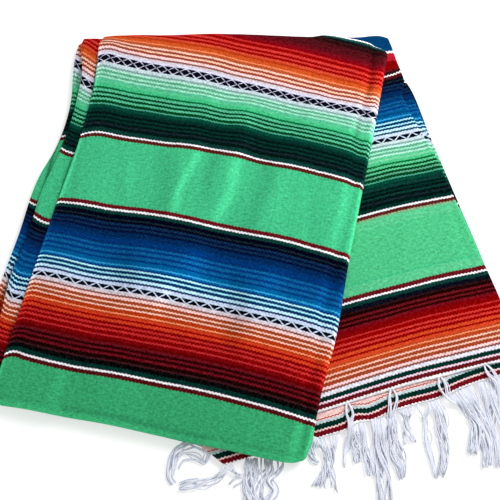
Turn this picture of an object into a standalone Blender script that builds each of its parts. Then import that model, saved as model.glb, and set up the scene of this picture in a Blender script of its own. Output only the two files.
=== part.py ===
# A striped serape blanket, folded in its width to a strip of four layers and laid on the floor as a V.
# The strip turns over along its top line, so the front arm lies on the back arm. The front arm ends in a
# rounded fold, the back arm in two woven ends with fringe.
# Each arm has its own axes: "across" runs to the arm's right, "along" runs down it from the top fold.
# Named sizes are in metres. The tables are in millimetres, in the arm's own axes.
import math

import bmesh
import bpy
import numpy as np

MM = 0.001

CLOTH = 0.002  # thickness of one woven layer
RISE_FROM, RISE_TO = 0.060, 0.170  # along the back arm, where it sinks from the top fold to the flat
DROOP = 0.0005  # sag of the upper layer's woven end
LOWER_DROOP = 0.0018  # sag of the lower layer's woven end
GAP = 0.0004  # air left between two layers
CENTRE_X = 0.0149  # middle of the footprint, which becomes the origin
CENTRE_Y = 0.0028

FRONT_ARM = {"x": -0.010, "y": 0.290, "lean": math.radians(-12.0)}
BACK_ARM = {"x": 0.010, "y": 0.300, "lean": math.radians(16.0)}

FRONT_TOP = 0.026  # top face of the front arm
SECOND_TOP = 0.0185
THIRD_TOP = 0.0115
BACK_TOP = 0.0120  # top face of the back arm's upper layer
BACK_RISE = 0.0075  # how much higher that layer stands at the top fold
LOWER_TOP = 0.0092  # top face of the back arm's lower layer
FLOOR_CLEAR = 0.0030  # a rolled edge ends this far above the floor
BACK_EDGE = 0.0078  # where the upper layer's rolled right edge ends
LOWER_EDGE = 0.0068
ROLL_ANGLES = (24.0, 46.0, 68.0, 90.0)  # degrees round a folded edge

# Front arm, top layer. Rows down the arm: along, left edge, right edge.
FRONT_SIDES = (
    (-40, -193, 194),
    (35, -189, 195),
    (100, -178, 195),
    (184, -174, 194),
    (278, -177, 193),
    (388, -180, 193),
    (433, -181, 189),
    (479, -182, 187),
    (530, -183, 186),
)
# Rows across the arm: across, along of the top fold, along of the bottom fold.
FRONT_ENDS = (
    (-193, 36, 531),
    (-150, 24, 529),
    (-96, 12, 528),
    (-31, -2, 525),
    (47, -19, 527),
    (112, -33, 528),
    (126, -34, 528),
    (150, -27, 529),
    (194, -18, 528),
)
# Second layer: along, left edge, inner edge under the front layer.
SECOND_SIDES = (
    (40, -208, -174),
    (73, -203, -170),
    (130, -196, -164),
    (212, -197, -164),
    (262, -203, -166),
    (330, -203, -168),
    (380, -207, -170),
    (430, -204, -170),
    (525, -205, -171),
)
# Third layer: along, left edge, inner edge under the second layer.
THIRD_SIDES = (
    (50, -219, -200),
    (83, -216, -196),
    (130, -206, -189),
    (200, -206, -189),
    (242, -215, -194),
    (330, -217, -195),
    (380, -219, -198),
    (520, -219, -197),
)
# Back arm, upper layer: along, inner edge under the front arm, right edge.
BACK_SIDES = (
    (20, 99, 160),
    (40, 105, 163),
    (60, 123, 165),
    (78, 146, 167),
    (90, 143, 167),
    (137, 120, 168),
    (181, 97, 170),
    (269, 49, 174),
    (357, 1, 178),
    (434, -40, 181),
    (505, -84, 181),
)
# Across, along of the top fold, along of the woven end.
BACK_ENDS = (
    (-84, 22, 503),
    (95, 23, 502),
    (130, 30, 503),
    (156, 37, 504),
    (181, 50, 505),
)
# Back arm, lower layer: along, inner edge under the front arm, right edge.
LOWER_SIDES = (
    (470, -62, 181),
    (500, -81, 182),
    (530, -96, 182),
)
LOWER_ENDS = (
    (-96, 486, 527),
    (30, 486, 527),
    (80, 486, 526),
    (181, 486, 520),
)
# Corner of the lower layer under the bottom fold.
TAIL_SIDES = (
    (500, -197, -158),
    (530, -195, -158),
)
TAIL_ENDS = (
    (-197, 503, 526),
    (-158, 521.5, 526),
)

# Soft folds in the front arm's top layer: across at the top, across at the bottom, first along, last along,
# half width, height.
FRONT_CREASES = (
    (174, 170, 60, 520, 9, -1.0),
    (-20, 22, 120, 330, 17, -0.9),
    (20, 62, 90, 300, 15, 0.8),
    (-70, -40, 250, 540, 20, 0.7),
    (-95, -88, 380, 560, 14, -0.8),
    (70, 100, 330, 540, 22, 0.7),
    (-150, -140, 120, 420, 18, 0.5),
    (100, 90, -20, 160, 24, -0.7),
)
BACK_CREASES = (
    (150, 120, 150, 420, 14, -0.6),
    (110, 60, 260, 500, 16, 0.6),
    (60, 0, 360, 520, 15, -0.5),
)

SECOND_ENDS = ((-208, 49, 512), (-164, 49, 512))
THIRD_ENDS = ((-219, 60, 502), (-186, 60, 502))

# The solid inside, made of slabs that run into each other. Sides as above: along, left edge, right edge.
BACK_BODY_SIDES = ((30, -190, 175), (110, -194, 177), (300, -194, 179), (520, -193, 181))
BACK_BODY_ENDS = ((-190, -40, 514), (181, 64, 514))
BACK_FILL_SIDES = ((30, -186, 158), (110, -186, 163), (300, -186, 170), (480, -186, 176))
BACK_FILL_ENDS = ((-186, -36, 478), (181, 68, 478))
THIRD_FILL_ENDS = ((-219, 60, 502), (-100, 60, 502))
SECOND_FILL_ENDS = ((-208, 49, 512), (-100, 49, 512))
# How far each slab stands in from its layer's outline, in metres: left, right, top, bottom. The two strips
# on the left reach further right, into the front arm.
FRONT_FOOT_TRIMS = (0.026, 0.0105, 0.014, 0.012)
FRONT_FILL_TRIMS = (0.024, 0.0105, 0.013, 0.008)
THIRD_FILL_TRIMS = (0.0038, -0.050, 0.0045, 0.0045)
SECOND_FILL_TRIMS = (0.0145, -0.030, 0.010, 0.010)
# Rings of each slab, from the bottom up: height, how far it stands in from the outline.
BACK_FILL_RINGS = ((4.0, 0.0), (7.5, 1.0), (9.0, 3.0))
FRONT_FOOT_RINGS = ((-3.0, 0.0), (14.0, 0.0))
FRONT_FILL_RINGS = ((13.2, 0.0), (18.0, 0.5), (21.2, 3.0), (22.2, 6.0))
THIRD_FILL_RINGS = ((-4.0, 2.0), (0.2, 2.0), (1.5, 0.0), (6.0, 0.0), (8.8, 3.0))
SECOND_FILL_RINGS = ((4.0, 0.0), (15.0, 0.0), (16.0, 1.0))
WORLD_HALF = 1.0  # half width of the block that cuts everything off at the floor
WORLD_HEIGHT = 0.1

# Layered edge of the back arm's slab: height, how far it stands in from the outline.
BACK_BODY_RINGS = (
    (-2.0, 2.6),
    (0.1, 2.6),
    (1.0, 0.8),
    (2.4, 0.8),
    (3.0, 2.4),
    (3.7, 0.6),
    (5.2, 0.6),
    (5.9, 2.2),
    (6.5, 1.4),
)

# Fringe bunches: across of the root, across of the tip, along of the tip, sideways bow, strands, spread.
LOWER_BUNCHES = (
    (-70, -109, 583, -4, 3, 7),
    (-57, -78, 592, 5, 3, 7),
    (-27, -36, 582, -5, 4, 11),
    (-7, -38, 610, 3, 3, 5),
    (3, -20, 614, -3, 3, 6),
    (24, 18, 566, 4, 3, 7),
    (40, 25, 604, 4, 3, 5),
    (53, 45, 609, -4, 3, 4),
    (89, 92, 614, 5, 3, 7),
    (106, 101, 615, -4, 3, 6),
    (134, 128, 604, 5, 3, 8),
    (158, 160, 612, -5, 3, 7),
    (175, 184, 598, 4, 3, 5),
)
UPPER_BUNCHES = (
    (-37, -59, 568, 4, 2, 3),
    (18, -3, 563, 5, 3, 5),
    (78, 83, 593, -7, 3, 5),
    (133, 138, 575, 4, 3, 6),
    (168, 176, 570, 3, 2, 4),
)
TAIL_BUNCHES = (
    (-188, -248, 537, 12, 3, 3),
    (-176, -185, 566, 5, 3, 7),
    (-163, -150, 582, -6, 3, 8),
)
# Height of a fringe's backing and where its strands end up, and how far along the arm they start to sink.
LOWER_FRINGE = {"root": 0.0064, "low": 0.0020, "drop_from": 0.530, "start": -0.086}
UPPER_FRINGE = {"root": 0.0105, "low": 0.0052, "drop_from": 0.532, "start": -0.046}
TAIL_FRINGE = {"root": 0.0064, "low": 0.0020, "drop_from": 0.530, "start": -0.194}
STRAND_SINK = 0.026  # length along the arm over which a strand sinks
STRAND_STEPS = 5
STRAND_ROOT = 0.0028  # width of a strand where it leaves the backing
STRAND_GAP = 0.0014
STRAND_TIP = 0.0007
BACKING = 0.0024  # width of the backing along the arm


def columns(table):
    """The named columns of a table, in metres."""
    return np.array(table, float).T * MM


def to_floor(arm, across, along):
    """Floor position of a point given in an arm's axes."""
    c, s = math.cos(arm["lean"]), math.sin(arm["lean"])
    x = arm["x"] + across * c + along * s
    y = arm["y"] + across * s - along * c
    return x - CENTRE_X, y - CENTRE_Y


def to_arm(arm, x, y):
    """The same point the other way, from the floor to an arm's axes."""
    c, s = math.cos(arm["lean"]), math.sin(arm["lean"])
    dx = x + CENTRE_X - arm["x"]
    dy = y + CENTRE_Y - arm["y"]
    return dx * c + dy * s, dx * s - dy * c


def smooth(value, low, high):
    """0 below low, 1 above high, with soft ends between."""
    t = np.clip((value - low) / (high - low), 0.0, 1.0)
    return t * t * (3.0 - 2.0 * t)


def creases(table, across, along):
    """Sum of soft ridges and troughs: a bell across each fold line, fading at its two ends."""
    total = np.zeros_like(across)
    for top, bottom, first, last, half, height in np.array(table, float) * MM:
        line = top + (bottom - top) * (along - first) / (last - first)
        fade = smooth(along, first, first + 0.05) * (1.0 - smooth(along, last - 0.05, last))
        total += height * fade * np.exp(-(((across - line) / half) ** 2))
    return total


def back_height(across, along):
    rise = BACK_RISE * (1.0 - smooth(along, RISE_FROM, RISE_TO))
    droop = DROOP * smooth(along, 0.48, 0.505)
    return BACK_TOP + rise - droop + creases(BACK_CREASES, across, along)


def front_height(across, along):
    return FRONT_TOP + creases(FRONT_CREASES, across, along)


def front_rest(across, along):
    """What the front layer's rolled edges come down to: the floor, the back arm or the second layer."""
    x, y = to_floor(FRONT_ARM, across, along)
    back_across, back_along = to_arm(BACK_ARM, x, y)
    on_back = smooth(back_across, -0.212, -0.196) * (1.0 - smooth(back_along, 0.535, 0.56))
    on_back = on_back * np.maximum(smooth(along + 0.22 * across, 0.006, 0.016), smooth(across, 0.082, 0.106))
    lift = np.maximum(back_height(back_across, np.maximum(back_along, 0.0)), BACK_TOP) + 2.0 * GAP
    rest = FLOOR_CLEAR + (lift - FLOOR_CLEAR) * on_back
    near_left = smooth(along, 0.036, 0.044) * (1.0 - smooth(along, 0.520, 0.530))
    left = FLOOR_CLEAR + (SECOND_TOP + 0.0021 - FLOOR_CLEAR) * near_left
    return np.where(across < -0.10, left, rest)


def second_height(across, along):
    left, inner = sides_at(SECOND_SIDES, along)
    return SECOND_TOP + 0.0015 * smooth((across - left) / (inner - left), 0.2, 1.0)


def second_rest(across, along):
    near = smooth(along, 0.0490, 0.0545) * (1.0 - smooth(along, 0.5065, 0.5120))
    return FLOOR_CLEAR + (THIRD_TOP + 0.0009 - FLOOR_CLEAR) * near


def third_height(across, along):
    return np.full_like(across, THIRD_TOP)


def low_rest(across, along):
    return np.full_like(across, FLOOR_CLEAR)


def back_rest(across, along):
    on_lower = smooth(along, 0.455, 0.478)
    return BACK_EDGE + (LOWER_TOP + 3.0 * GAP - BACK_EDGE) * on_lower


def lower_height(across, along):
    return LOWER_TOP - LOWER_DROOP * smooth(along, 0.505, 0.530)


def lower_rest(across, along):
    return np.full_like(across, LOWER_EDGE)


def sides_at(table, along):
    place, left, right = columns(table)
    return np.interp(along, place, left), np.interp(along, place, right)


def spread(count, first_rolled, last_rolled):
    """Steps of a grid over the flat, with extra steps round each rolled edge: fraction and roll angle."""
    flat = np.linspace(0.0, 1.0, count)
    turns = np.radians(ROLL_ANGLES)
    before = -turns[::-1] if first_rolled else turns[:0]
    after = turns if last_rolled else turns[:0]
    fraction = np.concatenate([np.zeros(len(before)), flat, np.ones(len(after))])
    angle = np.concatenate([before, np.zeros(count), after])
    return fraction, angle


def draped(arm, sides, ends, rolls, height, rest, counts):
    """Points of a layer that lies flat inside its outline and rolls down at its folded edges.

    rolls holds the radius in plan of the left, right, top and bottom roll, 0 for a cut edge. Round a roll
    the points follow a quarter ellipse from the flat to the height that the edge rests at, and two rolls
    meet in an eighth of an ellipsoid.
    """
    left_roll, right_roll, top_roll, bottom_roll = rolls
    a, turn_a = spread(counts[0], left_roll > 0, right_roll > 0)
    b, turn_b = spread(counts[1], top_roll > 0, bottom_roll > 0)
    a, b = np.meshgrid(a, b, indexing="ij")
    turn_a, turn_b = np.meshgrid(turn_a, turn_b, indexing="ij")
    place, top, bottom = columns(ends)
    across = place[0] + a * (place[-1] - place[0])
    along = np.zeros_like(across)
    for _ in range(6):
        first = np.interp(across, place, top) + top_roll
        last = np.interp(across, place, bottom) - bottom_roll
        along = first + b * (last - first)
        left, right = sides_at(sides, along)
        across = left + left_roll + a * (right - right_roll - left - left_roll)
    out_a, out_b = np.sin(turn_a), np.sin(turn_b)
    across = across + np.where(turn_a < 0, left_roll, right_roll) * out_a * np.sqrt(1 - out_b**2 / 2)
    along = along + np.where(turn_b < 0, top_roll, bottom_roll) * out_b * np.sqrt(1 - out_a**2 / 2)
    low = rest(across, along)
    z = low + (height(across, along) - low) * np.cos(turn_a) * np.cos(turn_b)
    x, y = to_floor(arm, across, along)
    return np.stack([x, y, z], axis=-1)


def walled(grid, thickness):
    """Closed wall whose outer face is the grid: vertices and faces."""
    rows, cols = grid.shape[:2]
    cross = np.cross(grid[1:, 1:] - grid[:-1, :-1], grid[1:, :-1] - grid[:-1, 1:])
    if cross[rows // 2, cols // 2, 2] < 0:
        cross = -cross
    normal = np.zeros_like(grid)
    for i in (0, 1):
        for j in (0, 1):
            normal[i : rows - 1 + i, j : cols - 1 + j] += cross
    normal /= np.linalg.norm(normal, axis=-1, keepdims=True)
    inner = grid - thickness * normal
    index = np.arange(rows * cols).reshape(rows, cols)
    quads = np.stack([index[:-1, :-1], index[1:, :-1], index[1:, 1:], index[:-1, 1:]], axis=-1).reshape(-1, 4)
    loop = np.concatenate([index[:-1, 0], index[-1, :-1], index[:0:-1, -1], index[0, :0:-1]])
    after = np.roll(loop, -1)
    shift = rows * cols
    rim = np.stack([loop, after, after + shift, loop + shift], axis=-1)
    faces = np.concatenate([quads, quads[:, ::-1] + shift, rim]).tolist()
    return np.concatenate([grid.reshape(-1, 3), inner.reshape(-1, 3)]), faces


def wool(name, colour, roughness):
    material = bpy.data.materials.new(name)
    material.use_nodes = True
    shader = material.node_tree.nodes["Principled BSDF"]
    shader.inputs["Base Color"].default_value = (*colour, 1.0)
    shader.inputs["Roughness"].default_value = roughness
    shader.inputs["Metallic"].default_value = 0.0
    return material


def solid(name, points, faces, material, smooth_shaded):
    """A mesh object with its faces turned outward."""
    mesh = bpy.data.meshes.new(name)
    mesh.from_pydata([tuple(p) for p in points], [], faces)
    body = bmesh.new()
    body.from_mesh(mesh)
    bmesh.ops.recalc_face_normals(body, faces=body.faces)
    if body.calc_volume(signed=True) < 0:
        bmesh.ops.reverse_faces(body, faces=body.faces)
    body.to_mesh(mesh)
    body.free()
    for face in mesh.polygons:
        face.use_smooth = smooth_shaded
    mesh.materials.append(material)
    thing = bpy.data.objects.new(name, mesh)
    bpy.context.scene.collection.objects.link(thing)
    return thing


def layer(name, arm, sides, ends, rolls, height, rest, counts, material):
    points, faces = walled(draped(arm, sides, ends, rolls, height, rest, counts), CLOTH)
    return solid(name, points, faces, material, True)


def inset(outline, distance):
    """An outline moved inward, each corner along the mean of its two sides' normals."""
    side = np.roll(outline, -1, axis=0) - outline
    normal = np.stack([-side[:, 1], side[:, 0]], axis=1)
    normal /= np.linalg.norm(normal, axis=1, keepdims=True)
    mean = normal + np.roll(normal, 1, axis=0)
    mean /= np.sum(mean * np.roll(normal, 1, axis=0), axis=1, keepdims=True)
    return outline + mean * distance


def slab(name, outline, levels, material):
    """A flat solid on an outline that runs counterclockwise: one ring for each height and inset."""
    rings = []
    for height, distance in levels:
        ring = inset(outline, distance * MM)
        rings.append(np.column_stack([ring, np.full(len(ring), height * MM)]))
    count = len(outline)
    faces = [list(range(count)), list(range(count * (len(rings) - 1), count * len(rings)))]
    for k in range(len(rings) - 1):
        for i in range(count):
            j = (i + 1) % count
            faces.append([k * count + i, k * count + j, (k + 1) * count + j, (k + 1) * count + i])
    return solid(name, np.concatenate(rings), faces, material, False)


def outline_of(arm, sides, ends, trims, steps):
    """Counterclockwise outline between two side curves and two end curves, trimmed on the left, right, top
    and bottom."""
    left_trim, right_trim, top_trim, bottom_trim = trims
    place, top, bottom = columns(ends)
    corner_left = sides_at(sides, bottom[0])[0] + left_trim
    corner_right = sides_at(sides, bottom[-1])[1] - right_trim
    e, t = np.linspace(0.0, 1.0, steps[0]), np.linspace(0.0, 1.0, steps[1])
    low_across = corner_left + (corner_right - corner_left) * e
    low_along = np.interp(low_across, place, bottom) - bottom_trim
    top_left = np.interp(sides_at(sides, top[0])[0] + left_trim, place, top) + top_trim
    top_right = np.interp(sides_at(sides, top[-1])[1] - right_trim, place, top) + top_trim
    right_along = low_along[-1] + (top_right - low_along[-1]) * t[1:]
    right_across = sides_at(sides, right_along)[1] - right_trim
    left_along = top_left + (low_along[0] - top_left) * t[:-1]
    left_across = sides_at(sides, left_along)[0] + left_trim
    top_across = right_across[-1] + (left_across[0] - right_across[-1]) * e[1:-1]
    top_along = np.interp(top_across, place, top) + top_trim
    across = np.concatenate([low_across, right_across, top_across, left_across])
    along = np.concatenate([low_along, right_along, top_along, left_along])
    return np.stack(to_floor(arm, across, along), axis=1)


def rounded(outline, share):
    """Cuts each sharp corner of an outline, so that a folded corner isn't square."""
    before = np.roll(outline, 1, axis=0) - outline
    after = np.roll(outline, -1, axis=0) - outline
    cosine = np.sum(before * after, axis=1)
    cosine /= np.linalg.norm(before, axis=1) * np.linalg.norm(after, axis=1)
    points = []
    for i, point in enumerate(outline):
        if cosine[i] > -0.6:
            points.append(point + before[i] * share)
            points.append(point + after[i] * share)
        else:
            points.append(point)
    return np.array(points)


def join(target, operation, others):
    for other in others:
        step = target.modifiers.new("with_" + other.name, "BOOLEAN")
        step.operation = operation
        step.solver = "EXACT"
        step.object = other
        other.hide_render = True
        other.display_type = "WIRE"


def fringe(name, arm, bunches, ends, levels, material):
    """A backing strip along a woven end, with strands that grow out of its outer face.

    Each strand leaves square to the end, bows sideways, stays level up to drop_from along the arm and then
    sinks to its low height. It narrows to its tip.
    """
    root_height, low_height = levels["root"], levels["low"]
    pitch = STRAND_ROOT + STRAND_GAP
    edges = []
    strands = []
    for root, tip, tip_along, bow, count, width in bunches:
        for k in range(count):
            offset = k - (count - 1) / 2
            centre = root * MM + offset * pitch
            edges += [centre - STRAND_ROOT / 2, centre + STRAND_ROOT / 2]
            wander = 0.004 * math.sin(2.1 * k + 0.05 * root)
            goal = tip * MM + offset * width * MM * 2 / max(count - 1, 1)
            strands.append((goal, tip_along * MM + wander, bow * MM * (1 + 0.3 * offset)))
    places = np.array([levels["start"], *edges])
    place, _, near = columns(ends)
    inner = np.interp(places, place, near) + GAP
    half = CLOTH / 2
    points = []
    for across, along in zip(places, inner):
        for depth, level in ((0.0, -half), (0.0, half), (BACKING, half), (BACKING, -half)):
            x, y = to_floor(arm, across, along + depth)
            points.append((x, y, root_height + level))
    faces = [[0, 1, 2, 3]]
    last = 4 * (len(places) - 1)
    faces.append([last, last + 1, last + 2, last + 3])
    for k in range(len(places) - 1):
        a, b = 4 * k, 4 * k + 4
        faces += [[a, b, b + 1, a + 1], [a + 1, b + 1, b + 2, a + 2], [a + 3, b + 3, b, a]]
        if k % 2 == 0:
            faces.append([a + 2, b + 2, b + 3, a + 3])
            continue
        goal, tip_along, bow = strands[k // 2]
        ring = [a + 2, b + 2, b + 3, a + 3]
        root_across = (places[k] + places[k + 1]) / 2
        root_along = (inner[k] + inner[k + 1]) / 2 + BACKING
        for step in range(1, STRAND_STEPS + 1):
            t = step / STRAND_STEPS
            across = root_across + (goal - root_across) * t**1.3 + bow * math.sin(math.pi * t)
            along = root_along + (tip_along - root_along) * t
            fall = float(smooth(along, levels["drop_from"], levels["drop_from"] + STRAND_SINK))
            level = root_height + (low_height - root_height) * fall
            wide = (STRAND_ROOT * (1.0 + 0.35 * math.sin(math.pi * t)) * (1 - t) + STRAND_TIP * t) / 2
            thick = (CLOTH * (1 - t) + STRAND_TIP * t) / 2
            first = len(points)
            for side, lift in ((-wide, thick), (wide, thick), (wide, -thick), (-wide, -thick)):
                x, y = to_floor(arm, across + side, along)
                points.append((x, y, level + lift))
            new = [first, first + 1, first + 2, first + 3]
            for i in range(4):
                j = (i + 1) % 4
                faces.append([ring[i], ring[j], new[j], new[i]])
            ring = new
        faces.append(ring)
    return solid(name, points, faces, material, True)


def main():
    for thing in list(bpy.data.objects):
        bpy.data.objects.remove(thing, do_unlink=True)

    front_wool = wool("front_wool", (0.18, 0.17, 0.12), 0.9)
    second_wool = wool("second_wool", (0.12, 0.16, 0.13), 0.9)
    third_wool = wool("third_wool", (0.12, 0.14, 0.12), 0.9)
    back_wool = wool("back_wool", (0.17, 0.18, 0.16), 0.9)
    border_wool = wool("border_wool", (0.16, 0.08, 0.06), 0.9)
    tail_wool = wool("tail_wool", (0.14, 0.07, 0.05), 0.9)
    hidden_wool = wool("hidden_wool", (0.12, 0.13, 0.12), 0.95)
    lower_yarn = wool("lower_yarn", (0.74, 0.78, 0.82), 0.85)
    upper_yarn = wool("upper_yarn", (0.76, 0.80, 0.84), 0.85)
    tail_yarn = wool("tail_yarn", (0.72, 0.76, 0.80), 0.85)

    layer(
        "front_ply", FRONT_ARM, FRONT_SIDES, FRONT_ENDS, (0.009, 0.007, 0.010, 0.012),
        front_height, front_rest, (17, 30), front_wool,
    )
    layer(
        "second_ply", FRONT_ARM, SECOND_SIDES, SECOND_ENDS, (0.005, 0, 0.006, 0.006),
        second_height, second_rest, (3, 18), second_wool,
    )
    layer(
        "third_ply", FRONT_ARM, THIRD_SIDES, THIRD_ENDS, (0.005, 0, 0.006, 0.006),
        third_height, low_rest, (2, 18), third_wool,
    )
    layer(
        "back_upper_ply", BACK_ARM, BACK_SIDES, BACK_ENDS, (0, 0.004, 0.008, 0),
        back_height, back_rest, (9, 24), back_wool,
    )
    layer(
        "back_lower_ply", BACK_ARM, LOWER_SIDES, LOWER_ENDS, (0, 0.003, 0, 0),
        lower_height, lower_rest, (18, 6), border_wool,
    )
    layer(
        "tail_ply", BACK_ARM, TAIL_SIDES, TAIL_ENDS, (0.003, 0, 0, 0),
        lower_height, lower_rest, (5, 4), tail_wool,
    )

    back_body = outline_of(BACK_ARM, BACK_BODY_SIDES, BACK_BODY_ENDS, (0, 0, 0, 0), (10, 14))
    back_fill = outline_of(BACK_ARM, BACK_FILL_SIDES, BACK_FILL_ENDS, (0, 0, 0, 0), (10, 12))
    foot = outline_of(FRONT_ARM, FRONT_SIDES, FRONT_ENDS, FRONT_FOOT_TRIMS, (12, 12))
    fill = outline_of(FRONT_ARM, FRONT_SIDES, FRONT_ENDS, FRONT_FILL_TRIMS, (12, 12))
    third = outline_of(FRONT_ARM, THIRD_SIDES, THIRD_FILL_ENDS, THIRD_FILL_TRIMS, (5, 20))
    second = outline_of(FRONT_ARM, SECOND_SIDES, SECOND_FILL_ENDS, SECOND_FILL_TRIMS, (5, 20))
    w = WORLD_HALF
    whole = np.array([(-w, -w), (w, -w), (w, w), (-w, w)])
    inside = slab("hidden_layers", rounded(back_body, 0.35), BACK_BODY_RINGS, hidden_wool)
    others = [
        slab("back_fill", rounded(back_fill, 0.35), BACK_FILL_RINGS, hidden_wool),
        slab("front_foot", rounded(foot, 0.4), FRONT_FOOT_RINGS, hidden_wool),
        slab("front_fill", rounded(fill, 0.45), FRONT_FILL_RINGS, hidden_wool),
        slab("third_fill", rounded(third, 0.35), THIRD_FILL_RINGS, hidden_wool),
        slab("second_fill", rounded(second, 0.35), SECOND_FILL_RINGS, hidden_wool),
    ]
    join(inside, "UNION", others)
    above_floor = slab("above_floor", whole, ((0.0, 0.0), (WORLD_HEIGHT / MM, 0.0)), hidden_wool)
    join(inside, "INTERSECT", [above_floor])

    fringe("lower_fringe", BACK_ARM, LOWER_BUNCHES, LOWER_ENDS, LOWER_FRINGE, lower_yarn)
    fringe("upper_fringe", BACK_ARM, UPPER_BUNCHES, BACK_ENDS, UPPER_FRINGE, upper_yarn)
    fringe("tail_fringe", BACK_ARM, TAIL_BUNCHES, TAIL_ENDS, TAIL_FRINGE, tail_yarn)


main()
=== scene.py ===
import math

import bpy
import numpy as np
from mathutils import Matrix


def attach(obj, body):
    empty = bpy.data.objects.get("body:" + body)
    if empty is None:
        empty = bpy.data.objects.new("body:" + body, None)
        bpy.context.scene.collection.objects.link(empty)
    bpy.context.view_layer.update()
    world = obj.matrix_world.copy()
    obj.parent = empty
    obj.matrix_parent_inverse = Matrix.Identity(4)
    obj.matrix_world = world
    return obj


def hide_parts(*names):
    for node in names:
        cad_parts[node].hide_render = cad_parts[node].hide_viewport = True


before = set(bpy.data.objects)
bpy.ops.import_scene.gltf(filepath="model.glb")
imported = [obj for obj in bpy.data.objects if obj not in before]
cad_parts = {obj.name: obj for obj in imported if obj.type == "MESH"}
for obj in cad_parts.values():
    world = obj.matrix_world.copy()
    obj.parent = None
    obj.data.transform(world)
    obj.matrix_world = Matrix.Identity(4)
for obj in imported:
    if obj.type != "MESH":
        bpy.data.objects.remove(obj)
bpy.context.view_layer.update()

# Sizes are metres; tables are millimetres in an arm's own axes: across runs right, along runs down the arm.
mm = 0.001
centreX, centreY = 0.0149, 0.0028
frontArm = {"x": -0.010, "y": 0.290, "lean": math.radians(-12.0)}
backArm = {"x": 0.010, "y": 0.300, "lean": math.radians(16.0)}
cloth = 0.002
gap = 0.0004
floorClear = 0.0030

studio = {
    "cameraAt": (-0.0149, -0.3202, 0.9219),
    "cameraTilt": 19.0,
    "lens": 56.16,
    "keyAt": (1.0, 0.8, 1.3),
    "keySize": 0.9,
    "keyPower": 40.0,
    "worldLight": 0.62,
    "floorTone": 0.50,
    "floorGlow": 0.53,
    "gain": 1.2,  # how much brighter than its own colour a flat white face comes out
}


# Shader sums
class Thread:
    # One shader value. A sum or product of it adds the Math node that works it out.
    def __init__(self, tree, socket=None):
        self.tree = tree
        self.socket = socket

    def add(self, kind, settings=None, values=None, out=0):
        node = self.tree.nodes.new("ShaderNode" + kind)
        for name, value in (settings or {}).items():
            if name == "stops":
                node.color_ramp.interpolation = "CONSTANT"
                while len(node.color_ramp.elements) < len(value):
                    node.color_ramp.elements.new(1.0)
                for element, (place, colour) in zip(node.color_ramp.elements, value):
                    element.position = place
                    element.color = colour
            else:
                setattr(node, name, value)
        for name, value in (values or {}).items():
            if isinstance(value, Thread):
                self.tree.links.new(value.socket, node.inputs[name])
            else:
                node.inputs[name].default_value = value
        return Thread(self.tree, node.outputs[out])

    def maths(self, operation, *others):
        return self.add("Math", {"operation": operation}, dict(enumerate((self, *others))))

    def __add__(self, other):
        return self.maths("ADD", other)

    def __mul__(self, other):
        return self.maths("MULTIPLY", other)

    def __sub__(self, other):
        return self.maths("SUBTRACT", other)

    def __rsub__(self, other):
        return self.add("Math", {"operation": "SUBTRACT"}, {0: other, 1: self})

    def __gt__(self, other):
        return self.maths("GREATER_THAN", other)

    def __lt__(self, other):
        return self.maths("LESS_THAN", other)

    __radd__ = __add__
    __rmul__ = __mul__

    def mixed(self, first, second):
        # first where this value is 0, second where it is 1
        return self.add("Mix", {"data_type": "RGBA"}, {0: self, 6: first, 7: second}, 2)

    def wave(self, pitch, shift=0.0):
        # a zigzag between 0 and 1 with that pitch, 0 at the shift
        return (self - shift).maths("PINGPONG", pitch / 2) * (2 / pitch)


def linear(code):
    # a colour written as six hex digits, in the linear values that a shader takes
    value = np.array([int(code[i : i + 2], 16) for i in (0, 2, 4)]) / 255
    value = np.where(value < 0.04045, value / 12.92, ((value + 0.055) / 1.055) ** 2.4)
    return (*np.minimum(value / studio["gain"], 0.9), 1.0)


def pairs(text):
    # a chart typed as text: two words to an entry, with a comma between two entries
    return [entry.split() for entry in text.split(",")]


def stripesOf(text):
    return [(float(start), name) for start, name in pairs(text)]


# Dyes as six hex digits, then every stripe with the place where it starts, in millimetres down the arm.
dye = dict(pairs("""
white f2f0f4, mintWhite bed1d5, pinkWhite d4c9d0, seaFoam c2efdf, blueWhite d2d2ea, rose f7cccb, mint ace0cc,
lavender c5d5ed, fog e0e1ec, ice bde6f7, blush f4c8c2, brightMint 97dabd, peach f7c1ac, cyanLine b0ecf8,
dustyPink f3d4e4, salmon f7bda7, apple 75c69d, aqua a2e4f6, sage 7a9e99, pea 55bc86, olive 81a179, lightGreen 4ab97f,
coral f79267, jade 549f7e, orangeLine e78256, green 40b680, leaf 51b58c, mauve 814e4c, pinkGrey 87514b,
flameLight cf472e, grass 36a16b, orange c54d1f, clay 8f3f28, earth ad4c26, azure 2e97cb, redLine cb372f, fern 48a084,
flame cc4322, steel 044355, copper 983f23, ginger ad411c, rust 963e20, fir 00602c, scarlet c83a1f, paprika a9330f,
poppy bc2a29, petrol 012f5e, wineLine b9292c, sea 00588f, cobalt 0c588e, teal 004676, tealDark 002f59, ruby b0182a,
red 8d0000, garnetLine 4b0e15, royal 0050a0, moss 003e1b, cocoa 541b17, cherry 5d0b15, royalDark 003372,
pineEdge 18443e, cardinal 7c010c, mulberry 611219, denim 063b66, nightBlue 003a66, brownLine 3c1115, ruddy 8c0000,
pine 014130, purple 3c2c4c, bottle 0b3630, maroon 6e0d18, crimson 7d0003, plumLine 4e1013, ink 003066, spruce 002a23,
umber 2c1110, wine 730008, navyLine 022651, deepLine 052e28, garnet 63101a, midnight 0d2847, claret 580000,
slate 13232a, bark 37171c, garnetDeep 490e13, navy 001031, deep 001412, plum 280000, soot 0e1416, oxblood 28080b,
navyBlack 000215, dusk 190000, lampblack 090c17, black 070708
"""))
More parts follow.
